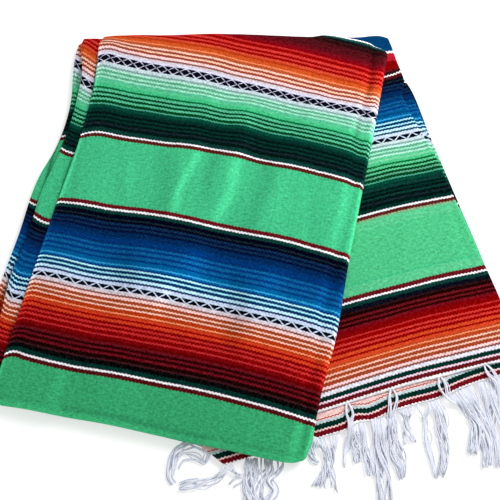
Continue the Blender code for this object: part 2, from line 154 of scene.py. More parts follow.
frontStripes = stripesOf("""
-70 royal, -47 purple, -41.6 white, -38.6 pineEdge, -33.4 soot, -29 umber, -26.3 oxblood, -23 brownLine,
-20.6 garnetDeep, -17.6 garnetLine, -14.5 garnetDeep, -11.6 cherry, -7 maroon, -4 cardinal, 0.5 poppy, 2.8 red,
7.7 redLine, 11.1 ruddy, 14.3 redLine, 16.9 ruddy, 20.3 flameLight, 24 paprika, 26.8 orange, 31.9 orangeLine,
33.9 earth, 38.1 peach, 40.9 clay, 44.3 salmon, 46.9 clay, 50.4 rose, 54.1 mauve, 57.1 pinkWhite, 60.6 blueWhite,
74.4 mintWhite, 78.7 sage, 81.6 mint, 84.1 jade, 87.1 brightMint, 89.4 jade, 92.1 brightMint, 94.4 leaf, 98.5 pea,
100.8 green, 105.4 fir, 108.1 leaf, 111.4 moss, 114.3 leaf, 116.9 moss, 120.1 leaf, 122.4 moss, 126.3 fern,
128.4 pine, 133.2 deepLine, 135.8 spruce, 139 deep, 142 deepLine, 144.8 deep, 147.8 deepLine, 150.5 deep, 154 slate,
156.5 deep, 161.5 bottle, 167.2 white, 169.5 cocoa, 174.9 green, 263.4 mulberry, 268.6 white, 271 bottle,
275.8 navyBlack, 280.8 slate, 282.8 navyBlack, 285.8 midnight, 288.8 navy, 291.5 midnight, 294 navy, 297 navyLine,
303.5 ink, 308 royalDark, 310.5 ink, 314 cobalt, 317 royalDark, 320.2 cobalt, 324.2 royalDark, 327.5 cobalt,
331.2 royalDark, 333.8 sea, 339.1 azure, 340.9 sea, 343 royalDark, 345.4 cyanLine, 347.6 tealDark, 351.2 aqua,
353.3 tealDark, 357.4 ice, 360.6 petrol, 363.4 lavender, 374.4 pinkWhite, 378.6 pinkGrey, 381 blush, 384 rust,
387.7 salmon, 389.8 rust, 393.2 salmon, 395.1 paprika, 399.6 coral, 401.1 paprika, 403 scarlet, 405.7 ruddy,
407.9 scarlet, 411.1 crimson, 414.1 poppy, 416.4 crimson, 419.3 poppy, 421.7 crimson, 426.1 wineLine, 427.9 wine,
432.2 claret, 434.8 garnet, 438.2 plum, 441.2 garnet, 443.8 plum, 447 garnet, 450 dusk, 454.5 bark, 456.5 black,
462.2 deepLine, 467.6 white, 470 plumLine, 475.1 grass
""")
backStripes = stripesOf("""
-60 nightBlue, 69.2 white, 72.4 ruby, 84 crimson, 95.8 garnet, 98 umber, 102.4 white, 104.3 plumLine, 108.5 lampblack,
112.2 slate, 114 navyBlack, 117 midnight, 119.8 navy, 121.8 midnight, 124.2 navy, 127.5 navyLine, 136.8 denim,
140.5 ink, 144 cobalt, 146.2 denim, 148.8 cobalt, 151.2 royalDark, 154 cobalt, 157 teal, 161.2 sea, 163.9 azure,
165.9 teal, 169.4 aqua, 171.6 tealDark, 175 aqua, 177 tealDark, 180.2 ice, 183.6 steel, 186.4 lavender, 197 mintWhite,
201.9 sage, 204.6 seaFoam, 207.4 jade, 210.6 brightMint, 213.1 jade, 215.9 mint, 218.1 pea, 221.5 apple,
223.8 lightGreen, 227.9 fir, 230.3 pea, 233.4 moss, 236.3 pea, 238.7 moss, 241.9 jade, 244.1 moss, 248.1 fern,
249.9 pine, 254.8 deepLine, 257 bottle, 260.5 deep, 263.2 spruce, 266 deep, 268.8 bottle, 271.2 deep, 275.2 slate,
277.5 deep, 282.2 spruce, 286.9 white, 289.1 cocoa, 293.6 olive, 295.8 pea, 307.5 lightGreen, 367.2 green, 369.5 pea,
381.4 mulberry, 386.9 white, 389.1 bottle, 394.2 lampblack, 399.8 umber, 401.8 dusk, 405.8 mulberry, 408.8 plum,
411.8 mulberry, 414.2 plum, 417.2 maroon, 421 wine, 423.2 crimson, 428.6 poppy, 430.4 ruddy, 434.9 redLine,
437.1 ruddy, 440.1 redLine, 442.7 ruddy, 446.1 flame, 449.9 red, 452.1 flame, 456 ginger, 457.9 coral, 459.4 ginger,
464.1 peach, 466.3 copper, 470 salmon, 472 copper, 476 rose, 479 pinkGrey, 481.7 fog, 486.3 spruce, 491.4 dustyPink,
493.8 mulberry, 498.6 white, 530 mintWhite
""")
# The lower end of the back arm shows the woven border once more.
borderStripes = stripesOf("""
-60 orange, 470 peach, 476 clay, 479 rose, 486 dustyPink, 490.6 clay, 492 rose, 495.5 blush, 499 copper, 500.3 rose,
501.6 mintWhite, 504.6 spruce, 510.4 rose, 512.4 maroon, 518 white
""")
# Where the woven rows really run: each row of the table is a loom place and, for every place across, how far
# below it on the floor that row lies.
frontRows = {
    "across": (-184, -172, -155, -120, -90, -60, -30, 0, 30, 60, 100, 135, 160, 176, 192),
    "rows": (
        (-40, (12, 11, 7, 4, 1, -2, -1.5, 0, 0.5, 1.2, 3.3, 6.5, 8.5, 10, 10.4)),
        (5, (11.5, 10.3, 6.5, 3.5, 0.6, -2.1, -1.7, 0.2, 0.8, 1.2, 3.4, 6.6, 8.7, 10.4, 10.6)),
        (26, (7.8, 5.2, 3.3, -0.3, -2.2, -2.7, -3.2, -0.6, 0.8, 2, 4.3, 7.9, 9.5, 11.2, 11.6)),
        (46, (-1, -3.7, -2.4, -1.1, -1.8, -1.9, -2.4, 0.5, 1.5, 3.6, 5.8, 9.4, 9.2, 10.2, 10.9)),
        (69, (1.5, -3.8, -3, -1.6, -1.6, -3, -2.6, 0.1, 1.3, 2.2, 4.2, 5.3, 5.8, 6.2, 6.8)),
        (92, (5.6, 0.6, 1, 2, 1.5, 1.3, -0.1, 1.5, -1, 1.1, 3.2, 3.5, 5, 7.9, 9.4)),
        (130, (6.9, 7.6, 5.1, 5.4, 4.1, 3.5, 0.7, 1.6, -1.5, 1.6, 0.8, 2.7, 4.6, 7.4, 10.5)),
        (168, (14.6, 12.2, 6.7, 5.2, 3.7, 2, -1.5, -1.9, -1.9, 0.6, -0.1, 1.4, 3.3, 5.3, 7.7)),
        (270, (11.1, 7.5, 5.8, 4.2, 2.6, 0.1, -1.1, -1.1, 0.4, 0.6, -0.3, 1.3, 3.9, 5.2, 7)),
        (300, (4.3, 5.7, 5.1, 5.7, 4.3, 1.3, 0, -1.1, 0.2, 0.7, 0.3, 2.1, 3.8, 5.9, 7.4)),
        (330, (6.6, 3.7, 3.4, 4.2, 3.2, 0.5, -1.9, -2.1, -0.6, -0.4, -0.2, 1.6, 2.6, 4.7, 6.4)),
        (371, (5, 0.6, -0.4, 0.9, 0.6, -1.2, -2.7, -2.5, -1.8, -1.3, -1, -0.5, 1.6, 3, 4.7)),
        (394, (5.1, -0.7, -0.4, 0.4, 0.3, -0.1, -1.6, -2.5, -2.2, -1.9, -1.4, 0.4, 1.9, 3.1, 4.3)),
        (430, (6.3, 1.8, 1.8, 2, 2.1, 1.1, 0.6, -0.5, -1.1, -1, 0.3, 1.9, 4.2, 5.6, 7.9)),
        (469, (7.1, 0.6, 1.5, 2.7, 2.4, 0.9, 0.1, -0.1, -0.8, -0.9, 0.4, 2, 4, 5.4, 6.5)),
    ),
}
backRows = {
    "across": (-60, 0, 40, 80, 110, 135, 155, 168, 180),
    "rows": (
        (71, (0, 0, 0, 0, -3, -2, 1.5, 3.5, 4.5)),
        (103, (0, 0, 0, 0, 1, 3, 2.7, 1.3, 0)),
        (124, (0, 0, 0, 0, 1, 2, 2.9, 3.7, 1)),
        (139, (0, 0, 0, -1, -0.5, 0, 0, 1.5, 1)),
        (176, (-3, -3, -3, -3, -0.7, 0.4, 1.2, 2, 4)),
        (213, (-4, -4, -4, -4, -3.2, -0.9, 0.5, 0.6, 0.3)),
        (246, (-4, -4, -4, -2.7, -2.6, -0.4, 1.1, 1.4, 1.4)),
        (287, (-2, -2.5, -2.9, -3.1, -2.1, -0.6, 1, 2.1, 1.5)),
        (388, (-0.8, -0.8, -0.4, 1, 1.3, 2.7, 4.4, 5.3, 5.9)),
        (420, (-1.3, -1.3, -0.9, -0.8, 0.6, 2, 3.5, 4.1, 5.2)),
        (446, (-1.3, -1.5, -1.4, -0.8, 0.8, 2, 3.2, 4, 4.5)),
        (487, (0, -1.6, -2, -0.8, 0.8, 1.7, 2.7, 3, 3)),
    ),
}
borderRows = {
    "across": (-96, -70, -44, -34, -15, 10, 40, 67, 99, 129, 150, 181),
    "rows": tuple((place, (8.5, 9.3, 8, 4, 7, 4, 3.5, 4.3, 0.5, -0.8, 0, -1)) for place in (470, 521)),
}
secondRows = {
    "across": (-206, -197, -188, -178),
    "rows": (
        (56, (27, 31, 35.5, 39)),
        (128, (31, 34, 37.8, 40)),
        (168, (29, 32.5, 36.4, 38.3)),
        (270, (27, 32, 35, 36.3)),
        (346, (28, 33, 33.9, 33.8)),
        (371, (25, 32, 32.5, 32.7)),
        (400, (27, 31.4, 32.7, 33.5)),
    ),
}
thirdRows = {
    "across": (-217, -208, -198),
    "rows": (
        (69, (4, 7.5, 12)), (168, (18, 16.5, 13.5)), (270, (9.5, 12.5, 14)), (346, (6.5, 10, 13)), (371, (6, 10, 13)),
    ),
}

weave = {
    "ribPitch": 0.00424,  # one pair of warps
    "jag": 0.00065,  # how far a motif's edge steps up and down from rib to rib; a stripe's edge steps twice as far
    "sway": 0.0014,  # how far a stripe's edge wanders besides
    "swayNoise": (160.0, 2.0, 0.6),
    "weftPitch": 0.0013,
    # fibres: the noise's scale, detail and roughness, and its share in the tone
    "grain": (620.0, 3.0, 0.65, 0.65),
    "streak": (260.0, 2.0, 0.5, 0.45),
    "fleck": (420.0, 1.0, 0.5, 0.90),
    "patch": (14.0, 2.0, 0.5, 0.16),
    "streakStretch": (0.55, 1.0, 1.0),
    "streakLean": 0.6,
    "lint": {"fleck": 0.014, "grain": 0.008},  # pale fibres that show on dark dyes
    "relief": {"rib": 0.35, "bead": 0.45, "grain": 0.8, "streak": 0.5},
    "bump": 0.0005,
    "bumpStrength": 0.8,
    "roughness": 0.86,
    "sheen": 0.01,
    "paintedHighlightDrop": 0.25,  # share of a rolled edge's height over which its painted highlight grows
}
# slope and size: how steep the sides of a motif's diamonds and triangles are, and where they stop
lattice = {
    "from": 0.0636, "to": 0.0744, "pitch": 0.0157, "shift": 0.0, "diamond": (1.06, 0.89), "triangle": (0.83, 0.02),
}
zigzag = {"from": 0.3680, "to": 0.3742, "pitch": 0.0170, "shift": 0.003, "triangle": (0.45, 0.375)}
backZigzag = {"from": 0.1912, "to": 0.1980, "pitch": 0.0168, "shift": 0.002, "triangle": (0.45, 0.375)}


def stripeColour(place, stripes):
    # Looks the place up in the chart: short ramps of flat steps, each one taking over where it starts.
    mostStops, longest = 30, 62
    colour = None
    first = 0
    while first < len(stripes):
        last = first + 1
        while last < len(stripes) and last - first < mostStops and stripes[last][0] - stripes[first][0] < longest:
            last += 1
        start = stripes[first][0] * mm
        end = stripes[last][0] * mm if last < len(stripes) else start + 0.1
        stops = [((at * mm - start) / (end - start), linear(dye[name])) for at, name in stripes[first:last]]
        ramp = place.add("ValToRGB", {"stops": stops}, {0: (place - start) * (1 / (end - start))})
        colour = ramp if colour is None else (place > start).mixed(colour, ramp)
        first = last
    return colour


def motifPlace(u, v, motif):
    # side is a zigzag between 0 and 1 along the row, height is -1 at its upper edge and 1 at its lower one
    middle, half = (motif["from"] + motif["to"]) / 2, (motif["to"] - motif["from"]) / 2
    return u.wave(motif["pitch"], motif["shift"]), (v - middle) * (1 / half)


def latticeMask(u, v, motif):
    # Whole diamonds in a row, with a triangle pointing down above each gap and one pointing up below it:
    # side is 0 at a diamond and 1 between two.
    side, height = motifPlace(u, v, motif)
    height = height.maths("ABSOLUTE")
    (diamondSlope, diamondSize), (slope, size) = motif["diamond"], motif["triangle"]
    diamond = (side + height * diamondSlope) < diamondSize
    triangle = ((1 - side) - height * slope) < size
    return diamond.maths("MAXIMUM", triangle * (height < 1.0))


def zigzagMask(u, v, motif):
    # Flat triangles, up and down by turns, locked into each other with one light zigzag left between them.
    side, height = motifPlace(u, v, motif)
    slope, size = motif["triangle"]
    up = (side - height * slope) < size
    down = ((1 - side) + height * slope) < size
    return up.maths("MAXIMUM", down) * (height.maths("ABSOLUTE") < 1.0)


def noise(start, where, scale, detail, roughness=0.5):
    return start.add("TexNoise", None, {"Vector": where, "Scale": scale, "Detail": detail, "Roughness": roughness})


def newMaterial(name):
    # a new material, the start of its shader sums and its shader
    material = bpy.data.materials.new(name)
    material.use_nodes = True
    return material, Thread(material.node_tree), material.node_tree.nodes["Principled BSDF"]


def finishMaterial(shader, colour, relief, bump, strength, fixed):
    # colour and relief are joined to the shader, and its other sockets get fixed values
    normal = relief.add("Bump", None, {"Height": relief, "Distance": bump, "Strength": strength})
    relief.tree.links.new(colour.socket, shader.inputs["Base Color"])
    relief.tree.links.new(normal.socket, shader.inputs["Normal"])
    for name, value in fixed.items():
        shader.inputs[name].default_value = value


def wool(name, stripes, motifs):
    # Stripes follow the piece's own map: u across and v down the cloth, both in metres.
    material, start, shader = newMaterial(name)
    cloths = start.add("UVMap", {"uv_map": "cloth"})
    u = start.add("SeparateXYZ", None, {0: cloths})
    v = Thread(start.tree, u.socket.node.outputs[1])
    rib = u.wave(weave["ribPitch"])
    jag = (rib - 0.5) * weave["jag"]
    sway = noise(start, cloths, *weave["swayNoise"])
    colour = stripeColour(v + jag * 2 + (sway - 0.5) * weave["sway"], stripes)
    for shape, motif in motifs:
        colour = shape(u, v + jag, motif).mixed(colour, linear(dye["lampblack"]))
    # Fibres stand up unevenly: fine grain, streaks and flecks along the weft, and slow patches of wear.
    turned = (0.0, 0.0, weave["streakLean"])
    stretched = start.add("Mapping", None, {"Vector": cloths, "Scale": weave["streakStretch"], "Rotation": turned})
    fibre, tone = {}, 1.0
    for kind, where in (("grain", cloths), ("streak", stretched), ("fleck", stretched), ("patch", cloths)):
        *texture, share = weave[kind]
        fibre[kind] = noise(start, where, *texture)
        tone = tone + (fibre[kind] - 0.5) * share
    # painted light and shade: the colour is brightened on fold ridges and rolled edges, and darkened in creases and
    # in the gaps beside other layers
    tone = tone * (1.0 + start.add("Attribute", {"attribute_name": "shine"}, None, 2))
    colour = start.add("VectorMath", {"operation": "SCALE"}, {0: colour, "Scale": tone})
    fleck, grain = ((fibre[kind] - 0.5) * share for kind, share in weave["lint"].items())
    colour = start.add("VectorMath", {"operation": "ADD"}, {0: colour, 1: fleck + grain})
    # Weft beads: each thread goes over one rib and under the next.
    odd = (u.wave(weave["ribPitch"] * 2, weave["ribPitch"] / 2) > 0.5) * (weave["weftPitch"] / 2)
    fibre.update(rib=rib, bead=(v + odd).wave(weave["weftPitch"]))
    first, *others = (fibre[kind] * share for kind, share in weave["relief"].items())
    relief = sum(others, first)
    finishMaterial(shader, colour, relief, weave["bump"], weave["bumpStrength"], {
        "Roughness": weave["roughness"], "Specular IOR Level": 0.0,
        "Sheen Weight": weave["sheen"], "Sheen Roughness": 0.5,
    })
    return material


# Forms
def columns(table):
    return np.array(table, float).T * mm


def toFloor(arm, across, along):
    # floor position of a point given in an arm's axes
    c, s = math.cos(arm["lean"]), math.sin(arm["lean"])
    x = arm["x"] + across * c + along * s
    y = arm["y"] + across * s - along * c
    return x - centreX, y - centreY


def toArm(arm, x, y):
    # the same point the other way round
    c, s = math.cos(arm["lean"]), math.sin(arm["lean"])
    dx, dy = x + centreX - arm["x"], y + centreY - arm["y"]
    return dx * c + dy * s, dx * s - dy * c


def smooth(value, low, high):
    # 0 below low, 1 above high, with soft ends between
    t = np.clip((value - low) / (high - low), 0.0, 1.0)
    return t * t * (3.0 - 2.0 * t)


def creases(table, across, along):
    # sum of soft ridges and troughs: a bell across each fold line, fading at its two ends
    wander, fadeOver = 0.003, 0.05
    total = np.zeros_like(across)
    for top, bottom, first, last, half, height in np.array(table, float) * mm:
        t = (along - first) / (last - first)
        line = top + (bottom - top) * t + wander * np.sin(9.0 * t + 60.0 * top)
        fade = smooth(along, first, first + fadeOver) * (1.0 - smooth(along, last - fadeOver, last))
        total += height * fade * np.exp(-(((across - line) / half) ** 2))
    return total


def curved(x, knots, values):
    # Smooth line through a table: a cubic between two knots that has the mean slope of its neighbours at each.
    slope = np.gradient(values, knots)
    k = np.clip(np.searchsorted(knots, x, side="right") - 1, 0, len(knots) - 2)
    step = knots[k + 1] - knots[k]
    t = np.clip((x - knots[k]) / step, 0.0, 1.0)
    ease = t * t * (3.0 - 2.0 * t)
    bend = slope[k] * t * (1.0 - t) ** 2 - slope[k + 1] * t * t * (1.0 - t)
    return values[k] + (values[k + 1] - values[k]) * ease + bend * step


def loomPlace(rows, across, along):
    # Which row of the loom lies at a point: the charted rows are found for this across, and along is
    # measured between the two next to it. Past the first and last rows it goes on one for one.
    knots = np.array(rows["across"]) * mm
    places = np.array([row[0] for row in rows["rows"]]) * mm
    floors = [place + curved(across, knots, np.array(row[1]) * mm) for place, row in zip(places, rows["rows"])]
    found = places[0] + np.minimum(along - floors[0], 0.0)
    for k in range(len(places) - 1):
        share = np.clip((along - floors[k]) / (floors[k + 1] - floors[k]), 0.0, 1.0)
        found = found + share * (places[k + 1] - places[k])
    return found + np.maximum(along - floors[-1], 0.0)


backTop = {
    "top": 0.0120, "rise": 0.0075, "riseAlong": (0.060, 0.170), "droop": 0.0005, "droopAlong": (0.48, 0.505),
}
backFolds = [
    (150, 120, 150, 420, 14, -0.6), (110, 60, 260, 500, 16, 0.6), (60, 0, 360, 520, 15, -0.5),
    (162, 166, 70, 470, 3.5, -0.7), (158, 168, 120, 300, 2.5, 0.5), (140, 100, 395, 525, 9, 0.5),
    (90, 100, 440, 530, 8, -0.5), (20, 0, 440, 530, 10, 0.5), (-20, -40, 455, 530, 8, -0.4),
]


def backHeight(across, along):
    rise = backTop["rise"] * (1.0 - smooth(along, *backTop["riseAlong"]))
    droop = backTop["droop"] * smooth(along, *backTop["droopAlong"])
    return backTop["top"] + rise - droop + creases(backFolds, across, along)


frontPly = {
    "top": 0.026,
    "sides": ((-40, -193, 194), (35, -189, 195), (100, -178, 195), (184, -174, 194), (278, -177, 193),
              (388, -180, 193), (433, -181, 189), (479, -182, 188), (495, -182, 188), (508, -182, 186),
              (518, -182, 181), (530, -183, 174)),
    "ends": ((-193, 34, 531), (-184, 29, 531), (-150, 18.5, 529), (-96, 7, 528), (-52, -4.5, 526), (7, -16, 526),
             (60, -24.5, 526.5), (100, -31, 526), (120, -33.5, 526), (137, -34, 526), (158, -33.5, 525.5),
             (168, -32, 524.5), (176, -28.5, 522), (184, -27, 516), (194, -22, 506)),
    "rolls": (0.009, 0.007, 0.010, 0.012),
    "steps": (150, 220, 8),
    "ripple": 0.00025,
    # where it lies on the back arm and on the second layer: both ends of the soft steps in between
    "onBackAcross": (-0.212, -0.196),
    "offBackAlong": (0.535, 0.560),
    "topSlope": 0.22,
    "belowTop": (0.006, 0.016),
    "rightOfTop": (0.082, 0.106),
    "onSecondAlong": (0.036, 0.044),
    "offSecondAlong": (0.520, 0.530),
    "overSecond": 0.0021,
    "leftOf": -0.10,
    # top across, bottom across, first and last along, half width, height
    "folds": [
        (179, 175, -50, 545, 5, -2.0), (187, 187, -30, 500, 4, 0.6), (168, 166, 20, 440, 6, 0.9),
        (-20, 22, 120, 330, 17, -1.4), (20, 62, 90, 300, 15, 1.2), (-70, -40, 250, 540, 20, 1.4),
        (-95, -88, 380, 560, 14, -1.6), (70, 100, 330, 540, 22, 1.4), (-150, -140, 120, 420, 18, 1.2),
        (100, 90, -20, 160, 24, -1.2), (-42, -30, 160, 290, 8, 1.3), (44, 16, 165, 275, 8, 1.6),
        (14, -6, 175, 260, 7, -1.4), (168, 165, 330, 545, 4, 0.8), (-110, -118, 440, 560, 5, 1.2),
        (-98, -104, 450, 560, 5, -1.4), (-20, -26, 470, 560, 6, 1.2), (10, 4, 480, 560, 6, -1.2),
        (150, 128, 430, 560, 7, 1.2), (96, 90, 470, 560, 8, -1.1), (-168, -164, 60, 500, 6, -0.9),
        (130, 140, 150, 330, 10, -1.1), (-120, -100, 200, 380, 12, -1.2), (0, 10, 340, 450, 12, -1.1),
        (125, 100, 20, 140, 9, 1.1), (-60, -76, 20, 130, 12, 1.1),
    ],
    # the same columns, with how much the painted light changes the colour there instead of the height: painted
    # highlight where it is above 0, painted shade where it is below
    "shine": [
        (-8, -14, 60, 135, 6, 0.20), (8, 10, 80, 150, 8, -0.15), (36, 38, 85, 170, 6, 0.35),
        (-19, -33, 135, 285, 5, 0.48), (40, 18, 140, 290, 8, 0.52), (10, -6, 140, 270, 7, -0.16),
        (-58, -48, 150, 300, 15, -0.15), (72, 66, 130, 300, 12, -0.20), (98, 92, 150, 270, 12, 0.10),
        (-92, -96, 185, 262, 9, 0.14), (14, 10, 270, 372, 16, 0.45), (-14, -18, 318, 420, 9, 0.30),
        (-70, -68, 296, 395, 20, -0.30), (62, 84, 296, 440, 14, -0.30), (108, 110, 280, 368, 14, 0.28),
        (166, 165, 275, 372, 5, 0.30), (168, 170, 130, 300, 6, 0.30), (166, 168, 385, 590, 4, 0.34),
        (177, 176, -60, 150, 3.5, -0.32), (168, 168, -40, 160, 4, 0.20), (187, 185, -40, 320, 5, 0.16),
        (174, 173, 380, 470, 3, -0.25), (20, 60, 450, 560, 60, -0.06), (-112, -110, 455, 580, 13, 0.10),
    ],
    # painted highlight on the rolled edges, which lie in shade
    "paintedEdgeHighlight": 0.85,
}


def frontHeight(across, along):
    # creases, and a fine ripple: two crossed waves that bend each other
    wave = np.sin(across * 190 + 5 * np.sin(along * 21)) * np.sin(along * 60 + 2 * np.sin(across * 33))
    return frontPly["top"] + creases(frontPly["folds"], across, along) + frontPly["ripple"] * wave


def frontRest(across, along):
    # what the rolled edges come down to: the floor, the back arm or the second layer
    backAcross, backAlong = toArm(backArm, *toFloor(frontArm, across, along))
    onBack = smooth(backAcross, *frontPly["onBackAcross"]) * (1.0 - smooth(backAlong, *frontPly["offBackAlong"]))
    below = smooth(along + frontPly["topSlope"] * across, *frontPly["belowTop"])
    onBack = onBack * np.maximum(below, smooth(across, *frontPly["rightOfTop"]))
    lift = np.maximum(backHeight(backAcross, np.maximum(backAlong, 0.0)), backTop["top"]) + 2.0 * gap
    rest = floorClear + (lift - floorClear) * onBack
    nearLeft = smooth(along, *frontPly["onSecondAlong"]) * (1.0 - smooth(along, *frontPly["offSecondAlong"]))
    left = floorClear + (secondPly["top"] + frontPly["overSecond"] - floorClear) * nearLeft
    return np.where(across < frontPly["leftOf"], left, rest)


secondPly = {
    "top": 0.0185,
    "sides": ((34, -214, -174), (46, -214.5, -172), (58, -211, -171), (76, -204, -170), (130, -196, -164),
              (212, -197, -164), (262, -203, -166), (330, -203, -168), (380, -207, -170), (430, -204, -170),
              (525, -205, -171)),
    "ends": ((-215, 36, 512), (-204, 33, 512), (-164, 29, 512)),
    "rolls": (0.005, 0, 0.006, 0.006),
    "steps": (20, 220, 7),
    "bank": 0.0015,  # how much higher it stands where it goes under the front layer
    "onThirdAlong": (0.0420, 0.0480),
    "offThirdAlong": (0.5065, 0.5120),
    "overThird": 0.0009,
    # painted highlight on the rolled edges
    "paintedEdgeHighlight": 0.6,
    # painted shade in the fold beside the front layer
    "shine": [
        (-181, -171, 30, 190, 2.5, -0.45), (-172, -179, 150, 440, 2.5, -0.45), (-180, -182, 400, 525, 2.5, -0.45),
    ],
    "folds": [(-199, -200, 60, 300, 4, 0.3), (-190, -194, 240, 500, 5, -0.4)],
}
thirdPly = {
    "top": 0.0115,
    "sides": ((40, -220, -200), (56, -220, -199), (83, -216, -196), (130, -206, -189), (200, -206, -189),
              (242, -215, -194), (330, -217, -195), (380, -219, -198), (520, -219, -197)),
    "ends": ((-220, 41, 502), (-205, 37, 502), (-186, 36, 502)),
    "rolls": (0.005, 0, 0.006, 0.006),
    "steps": (14, 220, 7),
    # painted highlight on the rolled edges
    "paintedEdgeHighlight": 0.55,
    # painted shade along its edge beside the second layer
    "shine": [(-206, -198, 50, 140, 2.5, -0.6), (-198, -205, 100, 330, 2.5, -0.6), (-205, -208, 290, 520, 2.5, -0.6)],
    "folds": [(-210, -211, 100, 420, 4, -0.4)],
}
backUpperPly = {
    "sides": ((20, 99, 166), (40, 105, 170), (56, 118, 171), (71, 138, 171), (85, 146, 170.5), (102, 137, 171),
              (118, 129, 170), (128, 124, 164.5), (137, 120, 161), (150, 113, 162), (168, 104, 163.5),
              (180, 98, 165.5), (194, 91, 166), (210, 81, 170), (269, 49, 174), (357, 1, 178), (434, -40, 181),
              (505, -84, 181)),
    "ends": ((-84, 20, 502), (-10, 20, 500.5), (50, 20, 500.5), (75, 22, 502), (110, 30, 502.5), (120, 33, 503),
             (137, 37, 503), (150, 39, 504.5), (160, 42, 505), (170, 49, 506), (181, 60, 507)),
    "rolls": (0, 0.004, 0.008, 0),
    "steps": (110, 230, 7),
    "edge": 0.0078,
    "onLowerAlong": (0.455, 0.478),
}
backLowerPly = {
    "top": 0.0092,
    "edge": 0.0068,
    "droop": 0.0018,
    "droopAlong": (0.505, 0.530),
    "ripple": 0.0004,
    "rippleAlong": (0.500, 0.515),
    "sides": ((470, -62, 181), (500, -81, 182), (530, -96, 182)),
    "ends": ((-96, 486, 529), (-70, 486, 529.5), (-44, 486, 528.3), (-34, 486, 525.5), (-15, 486, 527.3),
             (10, 486, 524.3), (40, 486, 523.7), (67, 486, 524.5), (99, 486, 520.7), (129, 486, 519.4),
             (150, 486, 520.2), (181, 486, 519)),
    "rolls": (0, 0.003, 0, 0),
    "steps": (160, 24, 6),
}
tailPly = {
    "sides": ((498, -213, -158), (503, -210.5, -158), (510, -205, -158), (518, -199, -158), (526, -193, -158),
              (532, -188, -158)),
    "ends": ((-213, 500, 528), (-200, 501, 528), (-180, 510, 527.5), (-158, 518, 527)),
    "rolls": (0.003, 0, 0, 0),
    "steps": (40, 20, 6),
}


def sidesAt(table, along):
    place, left, right = columns(table)
    return curved(along, place, left), curved(along, place, right)


def secondHeight(across, along):
    left, inner = sidesAt(secondPly["sides"], along)
    bank = secondPly["bank"] * smooth((across - left) / (inner - left), 0.2, 1.0)
    return secondPly["top"] + bank + creases(secondPly["folds"], across, along)


def secondRest(across, along):
    near = smooth(along, *secondPly["onThirdAlong"]) * (1.0 - smooth(along, *secondPly["offThirdAlong"]))
    return floorClear + (thirdPly["top"] + secondPly["overThird"] - floorClear) * near


def thirdHeight(across, along):
    return thirdPly["top"] + creases(thirdPly["folds"], across, along)


def lowRest(across, along):
    return np.full_like(across, floorClear)


def backRest(across, along):
    edge = backUpperPly["edge"]
    return edge + (backLowerPly["top"] + 3.0 * gap - edge) * smooth(along, *backUpperPly["onLowerAlong"])


def lowerHeight(across, along):
    # sags at its woven end, with a ripple that grows towards it
    ripple = backLowerPly["ripple"] * np.sin(across * 90) * smooth(along, *backLowerPly["rippleAlong"])
    droop = backLowerPly["droop"] * smooth(along, *backLowerPly["droopAlong"])
    return backLowerPly["top"] - droop + ripple


def lowerRest(across, along):
    return np.full_like(across, backLowerPly["edge"])


def spread(count, turns, firstRolled, lastRolled):
    # Steps of a grid over the flat, with extra steps round each rolled edge: fraction and roll angle.
    quarter = np.linspace(0.0, math.pi / 2, turns + 1)[1:]
    before = -quarter[::-1] if firstRolled else quarter[:0]
    after = quarter if lastRolled else quarter[:0]
    fraction = np.concatenate([np.zeros(len(before)), np.linspace(0.0, 1.0, count), np.ones(len(after))])
    return fraction, np.concatenate([before, np.zeros(count), after])


def draped(arm, ply, height, rest):
    # A layer lies flat inside its outline and rolls down at its folded edges in quarter ellipses. The
    # outline is found by turns: along from the two ends, then across from the two sides. Gives the
    # points, their places on the arm, and how far each lies across and along the cloth itself.
    leftRoll, rightRoll, topRoll, bottomRoll = ply["rolls"]
    acrossCount, alongCount, turns = ply["steps"]
    shareAcross, turnAcross = spread(acrossCount, turns, leftRoll > 0, rightRoll > 0)
    shareAlong, turnAlong = spread(alongCount, turns, topRoll > 0, bottomRoll > 0)
    shareAcross, shareAlong = np.meshgrid(shareAcross, shareAlong, indexing="ij")
    turnAcross, turnAlong = np.meshgrid(turnAcross, turnAlong, indexing="ij")
    place, top, bottom = columns(ply["ends"])
    across = place[0] + shareAcross * (place[-1] - place[0])
    for _ in range(6):
        first = curved(across, place, top) + topRoll
        last = curved(across, place, bottom) - bottomRoll
        along = first + shareAlong * (last - first)
        left, right = sidesAt(ply["sides"], along)
        across = left + leftRoll + shareAcross * (right - rightRoll - left - leftRoll)
    outAcross, outAlong = np.sin(turnAcross), np.sin(turnAlong)
    radiusAcross = np.where(turnAcross < 0, leftRoll, rightRoll)
    radiusAlong = np.where(turnAlong < 0, topRoll, bottomRoll)
    across = across + radiusAcross * outAcross * np.sqrt(1 - outAlong**2 / 2)
    along = along + radiusAlong * outAlong * np.sqrt(1 - outAcross**2 / 2)
    low = rest(across, along)
    z = low + (height(across, along) - low) * np.cos(turnAcross) * np.cos(turnAlong)
    x, y = toFloor(arm, across, along)
    clothAcross = across + radiusAcross * (turnAcross - outAcross)
    clothAlong = radiusAlong * (turnAlong - outAlong)
    return np.stack([x, y, z], axis=-1), across, along, clothAcross, clothAlong


